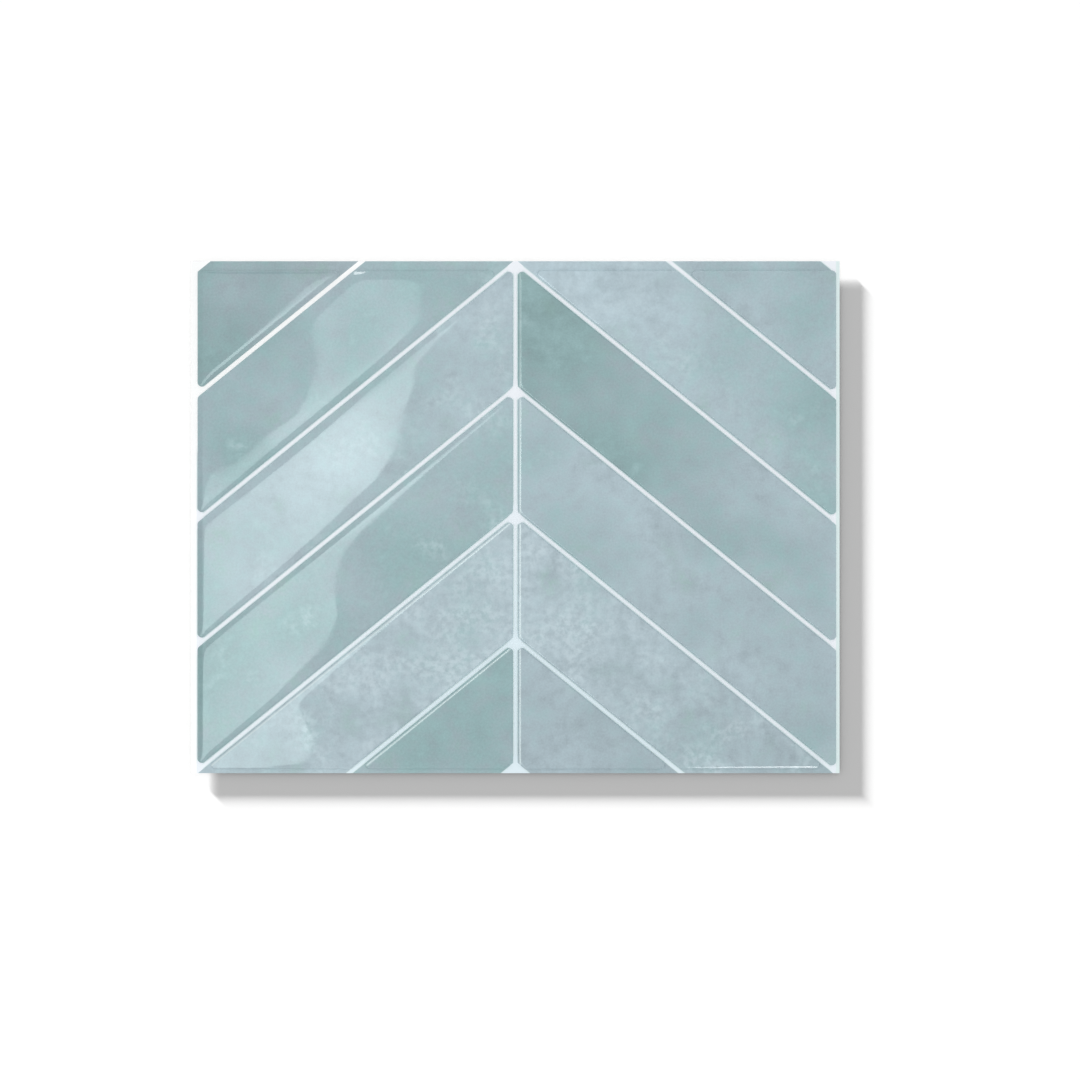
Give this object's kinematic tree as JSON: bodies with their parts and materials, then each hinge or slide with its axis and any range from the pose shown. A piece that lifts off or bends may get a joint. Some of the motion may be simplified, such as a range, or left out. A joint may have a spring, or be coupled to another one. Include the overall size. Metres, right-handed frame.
{
  "type": "self-adhesive chevron tile",
  "caption": "Peel-and-stick wall tile sheet: a thin printed film carries domed glossy gel pads in a chevron layout with narrow white joints.",
  "frame": {"origin": "middle of the adhesive back, on the surface that the sheet lies on", "axes": "+Z out of the glossy face, +Y the way the chevrons point (up on a wall), +X to the right seen from the face"},
  "size_m": [0.29, 0.229, 0.0018],
  "materials": {
    "printed_film": "satin white self-adhesive film",
    "gel": "glossy clear gel over a mottled sage and grey-blue print"
  },
  "bodies": {
    "root": {"backing_film": "printed_film", "gel_pad_left_1": "gel", "gel_pad_left_2": "gel", "gel_pad_left_3": "gel", "gel_pad_left_4": "gel", "gel_pad_left_5": "gel", "gel_pad_left_6": "gel", "gel_pad_right_1": "gel", "gel_pad_right_2": "gel", "gel_pad_right_3": "gel", "gel_pad_right_4": "gel", "gel_pad_right_5": "gel", "gel_pad_right_6": "gel"}
  },
  "joints": []
}
